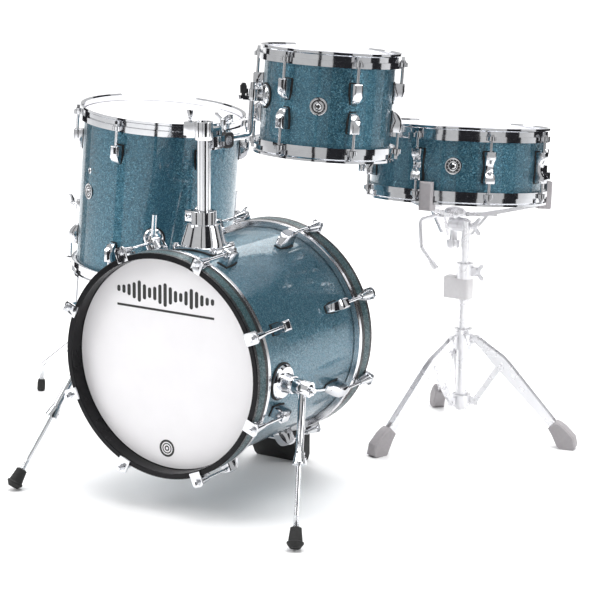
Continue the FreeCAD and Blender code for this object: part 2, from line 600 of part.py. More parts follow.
ends = [box(s * 138 - 9, s * 138 + 9, -23, 23, wz - 0.9, wz + 0.9) for s in (-1, 1)]
nodes["snare_wires"] = put(turned(ends[0].multiFuse(wires + [ends[1]]), BUTT_ANGLE), snare)

# ------------------------------------------------------------------ snare stand
stand_at = V(STAND_X, STAND_Y, 0)


def at_stand(shape):
    return moved(shape, STAND_X, STAND_Y, 0)


tube = cyl(STAND_TUBE_R, 60, 376)
hub = cyl(20, 67, 93)
tabs = []
for a in STAND_ANGLES:
    tab = box(17, HUB_PIVOT_R + 7, -3, 3, HUB_PIVOT_Z - 8, HUB_PIVOT_Z + 8)
    tab = fuse(tab, Part.makeCylinder(2.5, 16, V(HUB_PIVOT_R, -8, HUB_PIVOT_Z), EY))
    tabs.append(turned(tab, a))
block_half = STAND_TUBE_R + 2.5
block = box(-44, block_half, -block_half, block_half, 300, 344)
block = block.makeFillet(6, [e for e in block.Edges if e.BoundBox.ZLength > 30])
lock = fuse(cyl(18, 344, 376), box(0, 29, -6, 6, 351, 369), wing_nut(V(28.5, 0, 360), EX, 34, 15, EZ))
nodes["stand_base"] = at_stand(fuse(tube, hub, lock, *tabs).cut(cyl(STAND_INNER_R + RUN, 50, 400)))
nodes["stand_height_block"] = at_stand(block.cut(cyl(STAND_TUBE_R, 50, 400)))

collar = cyl(20, COLLAR_LOW, COLLAR_TOP)
ears = []
for a in STAND_ANGLES:
    e = box(15, LEG_PIVOT_R + 6, -4, 4, LEG_PIVOT_Z - 9, LEG_PIVOT_Z + 9)
    e = e.cut(Part.makeCylinder(2.5 + RUN, 20, V(LEG_PIVOT_R, -10, LEG_PIVOT_Z), EY))
    ears.append(turned(e, a))
stub = turned(fuse(put(cyl(5, 0, 14), seat(V(18, 0, 226), EX, EY)),
                   wing_nut(V(31, 0, 226), EX, 36, 16, EZ)), -48)
nodes["stand_collar"] = at_stand(collar.multiFuse(ears + [stub]).cut(cyl(STAND_TUBE_R + RUN, 100, 300)))

run_x = STAND_SPREAD - LEG_PIVOT_R
run_z = LEG_PIVOT_Z - 10.0
lean = math.degrees(math.atan2(run_z, run_x))
leg_len = math.hypot(run_x, run_z)
along = V(run_x, 0, -run_z)
along.normalize()
normal = V(along.z * -1, 0, along.x)
pivot = V(LEG_PIVOT_R, 0, LEG_PIVOT_Z)


def leg_point(s, n, y=0.0):
    return pivot + along * s + normal * n + V(0, y, 0)


for k in range(3):
    a = STAND_ANGLES[k]
    parts = []
    for s in (-1, 1):
        y0 = 5.2 if s > 0 else -7.4
        pts = [leg_point(-8, -5, y0), leg_point(-8, 5, y0), leg_point(30, 12, y0), leg_point(62, 19, y0),
               leg_point(84, 19, y0), leg_point(leg_len - 20, 7, y0), leg_point(leg_len - 20, -7, y0),
               leg_point(84, -8, y0), leg_point(60, -8, y0), leg_point(20, -6, y0)]
        parts.append(face(pts).extrude(V(0, 2.2, 0)))
    mid_s = math.hypot(MID_R - LEG_PIVOT_R, LEG_PIVOT_Z - MID_Z)
    parts.append(Part.makeCylinder(2.5, 19, pivot + V(0, -9.5, 0), EY))
    parts.append(Part.makeCylinder(2.5, 19, leg_point(mid_s, 0, -9.5), EY))
    for s in (0.0, mid_s):
        for y in (-9.4, 7.4):
            parts.append(Part.makeCylinder(4.5, 2.0, leg_point(s, 0, y), EY))
    parts.append(face([leg_point(leg_len - 70, -5, -5.3), leg_point(leg_len - 70, 5, -5.3),
                       leg_point(leg_len - 20, 5, -5.3),
                       leg_point(leg_len - 20, -5, -5.3)]).extrude(V(0, 10.6, 0)))
    frame = fuse(*parts)
    boot_pts = [leg_point(leg_len - 56, -11), leg_point(leg_len - 56, 11), leg_point(leg_len - 48, 15),
                leg_point(leg_len - 34, 18), leg_point(leg_len - 6, 18), V(STAND_SPREAD + 12, 0, 10),
                V(STAND_SPREAD + 10, 0, 3), V(STAND_SPREAD + 4, 0, 0), V(STAND_SPREAD - 20, 0, 0),
                V(STAND_SPREAD - 28, 0, 5), leg_point(leg_len - 40, -15)]
    boot = moved(face(boot_pts), 0, -13).extrude(V(0, 26, 0))
    boot = boot.makeChamfer(3, [e for e in boot.Edges if e.BoundBox.YLength < 0.1 and e.BoundBox.ZMin > 8])
    boot = boot.cut(frame)
    nodes["stand_leg_%d" % (k + 1)] = at_stand(turned(group([frame, boot]), a))
    lo = V(HUB_PIVOT_R, 0, HUB_PIVOT_Z)
    hi = V(MID_R, 0, MID_Z)
    d = hi - lo
    d.normalize()
    n = V(-d.z, 0, d.x)
    bars = []
    fork = [lo - n * 6 - d * 6, lo + n * 6 - d * 6, lo + n * 6 + d * 40, lo - n * 6 + d * 40]
    for y0 in (3.3, -5.1):
        bars.append(moved(face(fork), 0, y0).extrude(V(0, 1.8, 0)))
    bars.append(moved(face([lo - n * 6 + d * 18, lo + n * 6 + d * 18, lo + n * 6 + d * 40,
                            lo - n * 6 + d * 40]), 0, -5.1).extrude(V(0, 10.2, 0)))
    bars.append(moved(face([lo - n * 6 + d * 30, lo + n * 6 + d * 30, hi + n * 7 - d * 4, hi + n * 7 + d * 6,
                            hi - n * 7 + d * 6, hi - n * 7 - d * 4]), 0, -3).extrude(V(0, 6, 0)))
    strut = fuse(*bars)
    strut = strut.cut(Part.makeCylinder(2.5 + RUN, 20, lo + V(0, -10, 0), EY))
    strut = strut.cut(Part.makeCylinder(5.3, 20, hi + V(0, -10, 0), EY))
    nodes["stand_strut_%d" % (k + 1)] = at_stand(turned(strut, a))

inner = cyl(STAND_INNER_R, 210, 466).cut(cyl(7.5, 200, 440))
tilter = Part.makeCylinder(TILT_R, 13.5, V(-1.5 - 12, 0, TILT_Z), EX)
bolt_hole = Part.makeCylinder(4.0 + RUN, 80, V(-40, 0, TILT_Z), EX)
nodes["stand_upper_tube"] = at_stand(fuse(inner, tilter).cut(bolt_hole))

hub_at = V(STEM_X, STAND_Y, TILT_Z)
basket = seat(hub_at, SNARE_AXIS)
down_z = (hub_at - SNARE_AT).Length
stem = cyl(8, -52, 12)
half_disc = put(cyl(TILT_R, -8, 14.5), seat(O, EX, EY))
hub = rev([(0, 12), (13, 12), (13, TILT_R + 1.5), (24, TILT_R + 2), (24, 26), (18, 33), (8, 36), (0, 36)])
basket_body = fuse(put(fuse(stem, hub), basket), moved(half_disc, hub_at.x, hub_at.y, hub_at.z))
bolt = put(fuse(cyl(4.0, 10, 48), cyl(7.5, 42, 46)), seat(hub_at, EX, EY))
basket_body = fuse(basket_body, bolt, wing_nut(hub_at + V(46, 0, 0), EX, 36, 16, EZ))
arm_tabs = []
for a in ARM_ANGLES:
    arm_tabs.append(put(turned(box(20, 31, -3, 3, 16, 26), a), basket))
sleeve = put(cyl(14, -50, -34), basket)
handle = double_bend(V(-12, -20, 21), V(-58, -42, 6), V(-52, -42, -52), V(-20, -42, -88), 12, 4.0)
grip = rod(V(-27, -42, -80.1), V(-15, -42, -93.6), 6.5)
basket_body = basket_body.multiFuse(arm_tabs + [sleeve])
for a in ARM_ANGLES:
    hole = put(turned(Part.makeCylinder(2.2 + RUN, 20, V(27, -10, 21), EY), a), basket)
    basket_body = basket_body.cut(hole)
nodes["basket_hub"] = basket_body
nodes["basket_handle"] = put(fuse(handle, grip), basket).cut(basket_body)

lip_z = -SNARE_DEPTH / 2 - HOOP_PAST + down_z
lip_r = SNARE_R + 11.0
arms = []
for k in range(3):
    parts = []
    for y0 in (3.3, -5.5):
        pts = [(25, 18), (25, 24), (60, 25.5), (lip_r - 14, lip_z - 4.2), (lip_r + 2, lip_z - 4.2),
               (lip_r + 2, lip_z - 9.5), (lip_r - 12, lip_z - 9.5), (60, 17)]
        parts.append(slab_xz(pts, y0, y0 + 2.2))
    parts.append(Part.makeCylinder(2.2, 15, V(27, -7.5, 21), EY))
    parts.append(box(90, lip_r + 2, -5.5, 5.5, lip_z - 9.5, lip_z - 5.2))
    parts.append(slab_xz([(66, 19), (72, 19), (40, -22), (34, -22)], -2.5, 2.5))
    parts.append(box(62, 90, -5.5, 5.5, 19, 22.5))
    frame = fuse(*parts)
    pad = fuse(box(lip_r - 14, lip_r + 14, -13.5, 13.5, lip_z - 13, lip_z - 0.5),
               box(lip_r + 1.6, lip_r + 14, -13.5, 13.5, lip_z - 13, lip_z + 45))
    outer = [e for e in pad.Edges if e.BoundBox.XMin > lip_r + 13 and e.Length > 20]
    pad = pad.makeFillet(5, outer)
    pad = pad.cut(frame)
    nodes["basket_arm_%d" % (k + 1)] = put(turned(group([frame, pad]), ARM_ANGLES[k]), basket)

# ------------------------------------------------------------------ write
for name in sorted(nodes):
    part = nodes[name].copy()
    part.translate(V(SHIFT_X, SHIFT_Y, 0))
    part.exportStep("parts/" + name + ".step")
    print(name, len(part.Solids), part.isValid(), round(part.BoundBox.XMin, 2), round(part.BoundBox.XMax, 2),
          round(part.BoundBox.YMin, 2), round(part.BoundBox.YMax, 2), round(part.BoundBox.ZMin, 2),
          round(part.BoundBox.ZMax, 2))
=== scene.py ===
import bpy
import bmesh
import json
import math
import numpy as np
from mathutils import Matrix, Vector


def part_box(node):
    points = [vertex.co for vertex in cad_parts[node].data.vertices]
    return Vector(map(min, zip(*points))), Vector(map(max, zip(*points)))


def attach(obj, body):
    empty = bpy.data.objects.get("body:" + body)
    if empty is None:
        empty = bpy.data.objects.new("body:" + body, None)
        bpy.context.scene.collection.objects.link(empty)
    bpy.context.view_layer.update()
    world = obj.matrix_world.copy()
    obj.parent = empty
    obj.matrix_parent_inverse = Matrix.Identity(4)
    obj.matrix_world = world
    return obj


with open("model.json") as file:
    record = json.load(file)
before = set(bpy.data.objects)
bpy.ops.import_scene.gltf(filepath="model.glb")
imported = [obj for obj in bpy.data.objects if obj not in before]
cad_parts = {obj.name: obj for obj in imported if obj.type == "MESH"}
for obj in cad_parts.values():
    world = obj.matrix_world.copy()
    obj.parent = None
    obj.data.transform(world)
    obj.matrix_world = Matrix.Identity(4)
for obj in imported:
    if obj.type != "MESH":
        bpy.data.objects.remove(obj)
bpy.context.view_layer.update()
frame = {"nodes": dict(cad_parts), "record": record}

nodes = frame["nodes"]
record = frame["record"]
joints = {j["name"]: j for j in record["behaviour"]["joints"]}
body_of_node = {n: b for b, ns in record["behaviour"]["bodies"].items() for n in ns}
slot_of_node = {s["node"]: s["material_slot"] for s in record["subparts"]}


MM = 0.001


# ---------------------------------------------------------------- materials
class Mat:
    """One Principled material and short names for the nodes that feed it."""

    def __init__(self, name, color=(0.8, 0.8, 0.8), rough=0.5, metal=0.0, coat=0.0, coat_rough=0.03,
                 ior=1.5, spec=0.5):
        self.m = bpy.data.materials.new(name)
        self.m.use_nodes = True
        self.t = self.m.node_tree
        self.n = self.t.nodes
        self.b = self.n["Principled BSDF"]
        self.b.inputs["Base Color"].default_value = (*color, 1)
        self.b.inputs["Roughness"].default_value = rough
        self.b.inputs["Metallic"].default_value = metal
        self.b.inputs["Coat Weight"].default_value = coat
        self.b.inputs["Coat Roughness"].default_value = coat_rough
        self.b.inputs["IOR"].default_value = ior
        self.b.inputs["Specular IOR Level"].default_value = spec
        self.coord = self.n.new("ShaderNodeTexCoord")

    def add(self, kind, **values):
        node = self.n.new(kind)
        for k, v in values.items():
            if hasattr(node, k) and k not in node.inputs:
                setattr(node, k, v)
            else:
                node.inputs[k].default_value = v
        return node

    def link(self, a, b):
        self.t.links.new(a, b)

    def math(self, op, a, b=0.0, clamp=False):
        node = self.n.new("ShaderNodeMath")
        node.operation = op
        node.use_clamp = clamp
        for i, v in enumerate((a, b)):
            if isinstance(v, (int, float)):
                node.inputs[i].default_value = v
            else:
                self.link(v, node.inputs[i])
        return node.outputs[0]

    def noise(self, scale, detail=3.0, rough=0.5):
        node = self.add("ShaderNodeTexNoise")
        node.inputs["Scale"].default_value = scale
        node.inputs["Detail"].default_value = detail
        node.inputs["Roughness"].default_value = rough
        self.link(self.coord.outputs["Object"], node.inputs["Vector"])
        return node.outputs["Fac"]

    def cells(self, scale):
        node = self.add("ShaderNodeTexVoronoi")
        node.inputs["Scale"].default_value = scale
        self.link(self.coord.outputs["Object"], node.inputs["Vector"])
        return node

    def ramp(self, source, stops):
        node = self.n.new("ShaderNodeValToRGB")
        cr = node.color_ramp
        while len(cr.elements) < len(stops):
            cr.elements.new(0.5)
        for e, (p, c) in zip(cr.elements, stops):
            e.position = p
            e.color = (*c, 1) if len(c) == 3 else c
        self.link(source, node.inputs["Fac"])
        return node.outputs["Color"]

    def mix(self, fac, a, b):
        node = self.n.new("ShaderNodeMix")
        node.data_type = "RGBA"
        for s, v in ((node.inputs["Factor"], fac), (node.inputs[6], a), (node.inputs[7], b)):
            if isinstance(v, (int, float)):
                s.default_value = v
            elif isinstance(v, tuple):
                s.default_value = (*v, 1)
            else:
                self.link(v, s)
        return node.outputs[2]

    def span(self, source, a, b, c, d):
        node = self.n.new("ShaderNodeMapRange")
        for i, v in enumerate((a, b, c, d)):
            node.inputs[i + 1].default_value = v
        self.link(source, node.inputs[0])
        return node.outputs[0]

    def color(self, out):
        self.link(out, self.b.inputs["Base Color"])

    def rough(self, out):
        self.link(out, self.b.inputs["Roughness"])

    def bump(self, height, distance, strength=1.0):
        node = self.n.new("ShaderNodeBump")
        node.inputs["Distance"].default_value = distance
        node.inputs["Strength"].default_value = strength
        self.link(height, node.inputs["Height"])
        self.link(node.outputs[0], self.b.inputs["Normal"])
        return node


FLAKE_SCALE = 500.0
FLAKE_LEAN = 0.42
FINE_SCALE = 900.0
GLINT = (0.75, 0.85, 0.88)


def make_wrap(name, low, mid, high, metal=0.78, rough=0.32, coat=0.75):
    """Sparkle wrap: two sizes of coloured flake under a clear coat."""
    m = Mat(name, mid, rough, metal, coat=coat, coat_rough=0.04, spec=0.3)
    flakes = m.cells(FLAKE_SCALE)
    fine = m.cells(FINE_SCALE)
    tone = m.ramp(flakes.outputs["Color"], [(0.0, low), (0.45, mid), (0.8, mid), (1.0, high)])
    fine_tone = m.ramp(fine.outputs["Color"], [(0.0, low), (0.55, mid), (0.93, high), (1.0, GLINT)])
    m.color(m.mix(0.5, tone, fine_tone))
    # Each flake leans its own way
    geo = m.n.new("ShaderNodeNewGeometry")
    sub = m.n.new("ShaderNodeVectorMath")
    sub.operation = "SUBTRACT"
    m.link(flakes.outputs["Color"], sub.inputs[0])
    sub.inputs[1].default_value = (0.5, 0.5, 0.5)
    scl = m.n.new("ShaderNodeVectorMath")
    scl.operation = "SCALE"
    m.link(sub.outputs[0], scl.inputs[0])
    scl.inputs["Scale"].default_value = FLAKE_LEAN
    add = m.n.new("ShaderNodeVectorMath")
    add.operation = "ADD"
    m.link(scl.outputs[0], add.inputs[0])
    m.link(geo.outputs["Normal"], add.inputs[1])
    nrm = m.n.new("ShaderNodeVectorMath")
    nrm.operation = "NORMALIZE"
    m.link(add.outputs[0], nrm.inputs[0])
    m.link(nrm.outputs[0], m.b.inputs["Normal"])
    return m


def make_chrome(name, color, rough=0.07):
    """Plated metal with faint clouds in its polish."""
    m = Mat(name, color, rough, 1.0)
    cloud = m.noise(38.0, 4.0)
    m.rough(m.span(cloud, 0.3, 0.75, rough * 0.75, rough * 1.6))
    m.color(m.mix(m.span(m.noise(90.0, 5.0), 0.35, 0.7, 0.0, 1.0), color,
                  (color[0] * 0.93, color[1] * 0.93, color[2] * 0.94)))
    return m


WRAP_LOW = (0.008, 0.030, 0.056)
WRAP_MID = (0.041, 0.130, 0.186)
WRAP_HIGH = (0.24, 0.44, 0.50)
wrap = make_wrap("wrap_sparkle", WRAP_LOW, WRAP_MID, WRAP_HIGH)
chrome = make_chrome("chrome_polished", (0.76, 0.77, 0.79))
chrome_soft = make_chrome("chrome_cast", (0.66, 0.67, 0.69), 0.09)

head = Mat("head_film", (0.74, 0.73, 0.745), 0.42)
head.color(head.mix(head.span(head.noise(14.0, 5.0), 0.3, 0.7, 0, 1), (0.75, 0.74, 0.755), (0.72, 0.71, 0.725)))
head.bump(head.noise(900.0, 3.0), 0.00008, 0.5)

black = Mat("hoop_black_lacquer", (0.006, 0.006, 0.007), 0.22, coat=0.0, spec=0.13)
black.color(black.mix(black.noise(60.0, 6.0), (0.004, 0.004, 0.005), (0.012, 0.012, 0.013)))
black.rough(black.span(black.noise(110.0, 4.0), 0.3, 0.7, 0.18, 0.27))

rubber = Mat("rubber_black", (0.014, 0.014, 0.014), 0.62, spec=0.25)
rubber.color(rubber.mix(rubber.noise(220.0, 5.0), (0.010, 0.010, 0.010), (0.026, 0.026, 0.026)))
rubber.bump(rubber.noise(700.0, 3.0), 0.0002, 0.5)

plastic = Mat("plastic_black", (0.012, 0.012, 0.013), 0.36, spec=0.3)
plastic.color(plastic.mix(plastic.noise(180.0, 5.0), (0.008, 0.008, 0.009), (0.022, 0.022, 0.024)))
plastic.bump(plastic.noise(600.0, 3.0), 0.0001, 0.4)

steel = Mat("wire_steel", (0.62, 0.62, 0.64), 0.24, 1.0)
# Coil turns of the snare wires: the colour is painted shade (darker) in the grooves between turns and painted
# highlight (lighter) on the crests. The same bands also drive a bump.
coil_light_and_shade = steel.add("ShaderNodeTexWave")
coil_light_and_shade.bands_direction = "X"
coil_light_and_shade.inputs["Scale"].default_value = 260.0
steel.link(steel.coord.outputs["Object"], coil_light_and_shade.inputs["Vector"])
steel.color(steel.mix(coil_light_and_shade.outputs["Fac"], (0.30, 0.30, 0.31), (0.78, 0.78, 0.80)))
steel.bump(coil_light_and_shade.outputs["Fac"], 0.0006, 0.8)

alu = Mat("flesh_hoop_aluminium", (0.80, 0.80, 0.82), 0.18, 1.0)
alu.rough(alu.span(alu.noise(40.0, 3.0), 0.3, 0.7, 0.15, 0.22))
alu.color(alu.mix(alu.noise(30.0, 3.0), (0.76, 0.76, 0.78), (0.82, 0.82, 0.84)))

pale = Mat("stand_pale_steel", (0.78, 0.78, 0.80), 0.27, 0.6)
pale.color(pale.mix(pale.span(pale.noise(16.0, 2.0), 0.3, 0.7, 0, 1), (0.80, 0.80, 0.82),
                    (0.765, 0.765, 0.785)))
pale.rough(pale.span(pale.noise(24.0, 2.0), 0.3, 0.7, 0.25, 0.31))

grey_plastic = Mat("stand_grey_plastic", (0.60, 0.59, 0.60), 0.5)
grey_plastic.color(grey_plastic.mix(grey_plastic.noise(150.0, 5.0), (0.56, 0.55, 0.56), (0.64, 0.63, 0.64)))
grey_rubber = Mat("stand_grey_rubber", (0.30, 0.285, 0.295), 0.6)
grey_rubber.color(grey_rubber.mix(grey_rubber.noise(160.0, 5.0), (0.27, 0.255, 0.265), (0.34, 0.325, 0.335)))
grey_rubber.bump(grey_rubber.noise(500.0, 3.0), 0.0002, 0.4)

ink = Mat("printed_black_ink", (0.01, 0.01, 0.01), 0.4)
ink.color(ink.mix(ink.noise(400.0, 4.0), (0.008, 0.008, 0.008), (0.02, 0.02, 0.02)))

inner = Mat("shell_inside_maple", (0.55, 0.38, 0.22), 0.5)
grain = inner.add("ShaderNodeTexNoise")
grain.inputs["Scale"].default_value = 30.0
mp = inner.add("ShaderNodeMapping")
mp.inputs["Scale"].default_value = (1.0, 1.0, 9.0)
inner.link(inner.coord.outputs["Object"], mp.inputs["Vector"])
inner.link(mp.outputs[0], grain.inputs["Vector"])
inner.color(inner.mix(grain.outputs["Fac"], (0.42, 0.27, 0.14), (0.66, 0.47, 0.29)))

# Material of each slot in the record
BY_SLOT = {"wrap": wrap, "black_gloss": black, "head_white": head, "aluminium": alu, "chrome": chrome,
           "steel": steel, "black_rubber": rubber, "black_plastic": plastic, "pale_steel": pale,
           "pale_plastic": grey_plastic}


# ---------------------------------------------------------------- helpers
def coords(name):
    """Vertices of a CAD node, one row each."""
    me = nodes[name].data
    co = np.zeros(len(me.vertices) * 3)
    me.vertices.foreach_get("co", co)
    return co.reshape(-1, 3)


class Seat:
    """A local frame: origin, x, y, z in the row frame."""

    def __init__(self, o, z, side=Vector((1, 0, 0))):
        self.o = Vector(o)
        self.z = Vector(z).normalized()
        side = Vector(side)
        self.x = (side - self.z * side.dot(self.z)).normalized()
        self.y = self.z.cross(self.x)

    def at(self, x, y, z):
        return self.o + self.x * x + self.y * y + self.z * z

    def way(self, x, y, z):
        return self.x * x + self.y * y + self.z * z

    def polar(self, r, deg, z=0.0):
        a = math.radians(deg)
        return self.at(r * math.cos(a), r * math.sin(a), z)

    def matrix(self):
        m = Matrix((self.x, self.y, self.z)).transposed().to_4x4()
        m.translation = self.o
        return m

    def radial(self, r, deg, z=0.0):
        """Frame standing on a round shell: z out of the shell, y along the shell's axis."""
        a = math.radians(deg)
        out = self.way(math.cos(a), math.sin(a), 0)
        return Seat(self.polar(r, deg, z), out, self.z.cross(out))


def axis_of(name, toward):
    """Centre and axis of a round shell: the way its faces look least."""
    lo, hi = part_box(name)
    me = nodes[name].data
    n = np.zeros(len(me.polygons) * 3)
    me.polygons.foreach_get("normal", n)
    n = n.reshape(-1, 3)
    area = np.zeros(len(me.polygons))
    me.polygons.foreach_get("area", area)
    w, vec = np.linalg.eigh((n * area[:, None]).T @ n)
    ax = Vector(vec[:, 0])
    if ax.dot(Vector(toward)) < 0:
        ax = -ax
    return (Vector(lo) + Vector(hi)) / 2, ax


def joint_axis(name):
    """Direction of a joint, as a unit vector."""
    return Vector(joints[name]["axis"]).normalized()


def new_mesh(name, verts, faces, mat, body, smooth=False):
    """A visual piece that rides a body."""
    me = bpy.data.meshes.new(name)
    me.from_pydata([tuple(v) for v in verts], [], faces)
    me.materials.append(mat.m)
    bm = bmesh.new()
    bm.from_mesh(me)
    bmesh.ops.recalc_face_normals(bm, faces=bm.faces)
    bm.to_mesh(me)
    bm.free()
    ob = bpy.data.objects.new(name, me)
    bpy.context.scene.collection.objects.link(ob)
    if smooth:
        me.shade_smooth()
        m = ob.modifiers.new("edges", "EDGE_SPLIT")
        m.split_angle = math.radians(32)
    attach(ob, body)
    return ob


class Build:
    """Collects several shapes into one mesh piece."""

    def __init__(self):
        self.v = []
        self.f = []

    def add(self, verts, faces):
        k = len(self.v)
        self.v += [Vector(p) for p in verts]
        self.f += [tuple(i + k for i in f) for f in faces]

    def lathe(self, seat, profile, n=32):
        """Profile of (radius, height) turned about the seat's z."""
        rows = []
        verts = []
        for r, z in profile:
            row = []
            if r < 1e-7:
                row = [len(verts)] * n
                verts.append(seat.at(0, 0, z))
            else:
                for k in range(n):
                    a = 2 * math.pi * k / n
                    row.append(len(verts))
                    verts.append(seat.at(r * math.cos(a), r * math.sin(a), z))
            rows.append(row)
        faces = []
        for a, b in zip(rows, rows[1:]):
            for k in range(n):
                q = [a[k], a[(k + 1) % n], b[(k + 1) % n], b[k]]
                q = [i for j, i in enumerate(q) if i not in q[:j]]
                if len(q) > 2:
                    faces.append(tuple(q))
        self.add(verts, faces)

    def box(self, seat, x0, x1, y0, y1, z0, z1):
        """Box between two corners given in the seat's frame."""
        v = [seat.at(x, y, z) for z in (z0, z1) for y in (y0, y1) for x in (x0, x1)]
        self.add(v, [(0, 2, 3, 1), (4, 5, 7, 6), (0, 1, 5, 4), (2, 6, 7, 3), (0, 4, 6, 2), (1, 3, 7, 5)])

    def prism(self, seat, outline, z0, z1):
        """Flat outline raised from z0 to z1."""
        n = len(outline)
        v = [seat.at(x, y, z0) for x, y in outline] + [seat.at(x, y, z1) for x, y in outline]
        f = [tuple(range(n - 1, -1, -1)), tuple(range(n, 2 * n))]
        f += [(i, (i + 1) % n, n + (i + 1) % n, n + i) for i in range(n)]
        self.add(v, f)

    def patch(self, seat, r, deg, rows, thick, cols=6):
        """Pad hugging a round shell. rows are (height along the axis, half width)."""
        verts = []
        faces = []
        a0 = math.radians(deg)
        for rad in (r - 0.0004, r + thick):
            for z, hw in rows:
                for c in range(cols + 1):
                    a = a0 + (2 * c / cols - 1) * hw / r
                    verts.append(seat.at(rad * math.cos(a), rad * math.sin(a), z))
        m = len(rows)
        w = cols + 1

        def idx(layer, j, c):
            return layer * m * w + j * w + c
        for layer in (0, 1):
            for j in range(m - 1):
                for c in range(cols):
                    faces.append((idx(layer, j, c), idx(layer, j, c + 1), idx(layer, j + 1, c + 1),
                                  idx(layer, j + 1, c)))
        for j in range(m - 1):
            for c in (0, cols):
                faces.append((idx(0, j, c), idx(0, j + 1, c), idx(1, j + 1, c), idx(1, j, c)))
        for j in (0, m - 1):
            for c in range(cols):
                faces.append((idx(0, j, c), idx(0, j, c + 1), idx(1, j, c + 1), idx(1, j, c)))
        self.add(verts, faces)

    def done(self, name, mat, body, smooth=True):
        return new_mesh(name, self.v, self.f, mat, body, smooth)


def circle_rows(z, r, n=10):
    """Rows of a round gasket centred at height z."""
    return [(z + r * math.sin(math.pi * (k / n - 0.5)), max(r * math.cos(math.pi * (k / n - 0.5)), r * 0.12))
            for k in range(n + 1)]


# ---------------------------------------------------------------- CAD nodes
def dress(name, mats, chooser=None, bevel=0.0):
    """Gives a CAD node its materials; chooser picks one per face."""
    ob = nodes[name]
    me = ob.data
    me.materials.clear()
    for m in mats:
        me.materials.append(m.m)
    if "custom_normal" in me.attributes:
        me.attributes.remove(me.attributes["custom_normal"])
    me.shade_smooth()
    if chooser:
        for p in me.polygons:
            p.material_index = chooser(p.center, p.normal)
    w = ob.modifiers.new("weld", "WELD")
    w.merge_threshold = 0.00001
    if bevel:
        b = ob.modifiers.new("bevel", "BEVEL")
        b.width = bevel
        b.segments = 2
        b.limit_method = "ANGLE"
        b.angle_limit = math.radians(38)
        b.harden_normals = False
    e = ob.modifiers.new("edges", "EDGE_SPLIT")
    e.split_angle = math.radians(30)
    return ob


bass = Seat(*axis_of("bass_shell", (0, -1, 0)))
tom = Seat(*axis_of("tom_shell", (0, 0, 1)))
floor = Seat((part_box("floor_shell")[0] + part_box("floor_shell")[1]) / 2, joint_axis("floor_leg_1_height"))
snare = Seat((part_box("snare_shell")[0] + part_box("snare_shell")[1]) / 2, joint_axis("snare_lift"))


def radius_of(seat, name):
    """Largest distance of a node from the seat's axis."""
    co = coords(name) - np.array(seat.o)
    z = co @ np.array(seat.z)
    return float(np.sqrt(np.maximum((co ** 2).sum(1) - z ** 2, 0)).max())


BR = radius_of(bass, "bass_shell")
TR = radius_of(tom, "tom_shell")
FR = radius_of(floor, "floor_shell")
SR = radius_of(snare, "snare_shell")


def shell_side(seat, r):
    """0 on the outside of a shell of radius r, 1 on its inside."""
    def pick(c, n):
        d = c - seat.o
        d = d - seat.z * d.dot(seat.z)
        return 0 if d.length > r - 0.003 else 1
    return pick


for nm, st, r in (("bass_shell", bass, BR), ("tom_shell", tom, TR), ("floor_shell", floor, FR),
                  ("snare_shell", snare, SR)):
    dress(nm, [wrap, inner], shell_side(st, r))

# Hoop lacquer with a sparkle stripe along the middle of the outer face
INLAY_SHARE = 0.5
INLAY_LOW = (0.006, 0.016, 0.019)
INLAY_MID = (0.026, 0.062, 0.070)
INLAY_HIGH = (0.13, 0.24, 0.26)
hoops = ("bass_front_hoop", "bass_rear_hoop")
HR = radius_of(bass, hoops[0])
for nm in hoops:
    inlay = make_wrap("inlay_" + nm, INLAY_LOW, INLAY_MID, INLAY_HIGH, metal=0.5, rough=0.34, coat=0.2)
    lo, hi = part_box(nm)
    mid = (lo.y + hi.y) / 2
    half = (hi.y - lo.y) / 2
    sep = inlay.n.new("ShaderNodeSeparateXYZ")
    inlay.link(inlay.coord.outputs["Object"], sep.inputs[0])
    away = inlay.math("ABSOLUTE", inlay.math("SUBTRACT", sep.outputs["Y"], mid))
    on = inlay.math("LESS_THAN", away, half * INLAY_SHARE)
    base = inlay.b.inputs["Base Color"].links[0].from_socket
    inlay.color(inlay.mix(on, (0.006, 0.006, 0.007), base))
    inlay.link(inlay.math("MULTIPLY", on, 0.5), inlay.b.inputs["Metallic"])

    def side(c, n, hr=HR):
        d = c - bass.o
        d = d - bass.z * d.dot(bass.z)
        return 1 if d.length > hr - 0.0012 and abs(n.dot(bass.z)) < 0.3 else 0
    dress(nm, [black, inlay], side)

PLAIN = ["bass_front_head", "bass_rear_head", "bass_flesh_hoops", "bass_tension_rods", "tom_rods",
         "floor_rods", "snare_rods", "tom_post", "tom_arm", "tom_heads", "floor_heads", "snare_heads",
         "tom_hoops", "floor_hoops", "snare_hoops", "snare_wires", "stand_base", "stand_collar",
         "basket_handle", "stand_upper_tube", "stand_strut_1", "stand_strut_2", "stand_strut_3"]
for nm in PLAIN:
    dress(nm, [BY_SLOT[slot_of_node[nm]]])
for nm in ("bass_lugs", "bass_claws", "tom_lugs", "floor_lugs", "snare_lugs"):
    dress(nm, [chrome_soft], bevel=0.0005)
for nm in ("post_receiver", "spur_brackets", "spur_tube_left", "spur_tube_right", "post_clamp", "tom_bracket",
           "floor_leg_brackets", "strainer_body", "strainer_lever", "butt_plate"):
    dress(nm, [chrome], bevel=0.0004)
for nm in ("bass_riser", "arm_knob", "tom_bracket_wing", "stand_height_block", "basket_hub"):
    dress(nm, [BY_SLOT[slot_of_node[nm]]], bevel=0.0006)

# The riser's T-bolt is metal: it sticks out of the wedge's front, at one height
BOLT_OUT = 20.5 * MM
BOLT_Z = 62 * MM
BOLT_HALF = 6 * MM
bolt_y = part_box("bass_riser")[0].y + BOLT_OUT
nodes["bass_riser"].data.materials.append(chrome.m)
for p in nodes["bass_riser"].data.polygons:
    p.material_index = int(p.center.y < bolt_y and abs(p.center.z - BOLT_Z) < BOLT_HALF)


